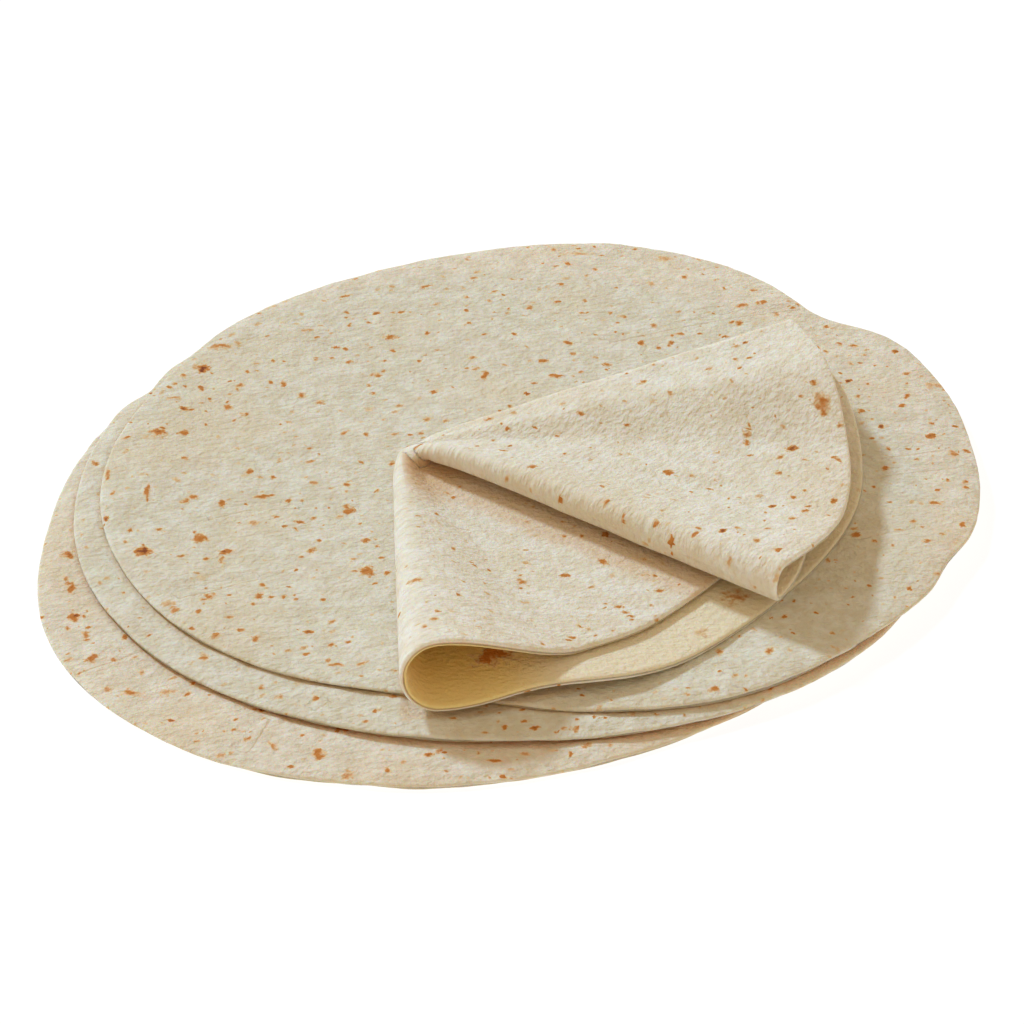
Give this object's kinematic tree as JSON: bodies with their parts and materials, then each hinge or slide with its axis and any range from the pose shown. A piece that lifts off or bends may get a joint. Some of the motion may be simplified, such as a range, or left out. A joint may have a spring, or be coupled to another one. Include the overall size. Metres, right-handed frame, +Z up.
{
  "type": "stack of flour tortillas",
  "caption": "Soft round flour tortillas lying flat in a loose stack, with one folded into quarters resting on top, its rolled folds open at the rim.",
  "frame": {"origin": "centre of the footprint's bounding box, on the surface the stack lies on", "axes": "+Z up through the layers, +Y away from the viewer of the picture, +X to the viewer's right"},
  "size_m": [0.2656, 0.2841, 0.0279],
  "materials": {
    "flat_tortilla": "matte pale cream baked dough with fine pebbled relief and small toasted brown flecks",
    "folded_tortilla": "matte pale cream baked dough, toasted flecks outside, smoother and yellower inside with round pale brown blisters"
  },
  "bodies": {
    "root": {"tortilla_bottom": "flat_tortilla", "tortilla_middle": "flat_tortilla", "tortilla_top": "flat_tortilla", "tortilla_folded": "folded_tortilla"}
  },
  "joints": []
}
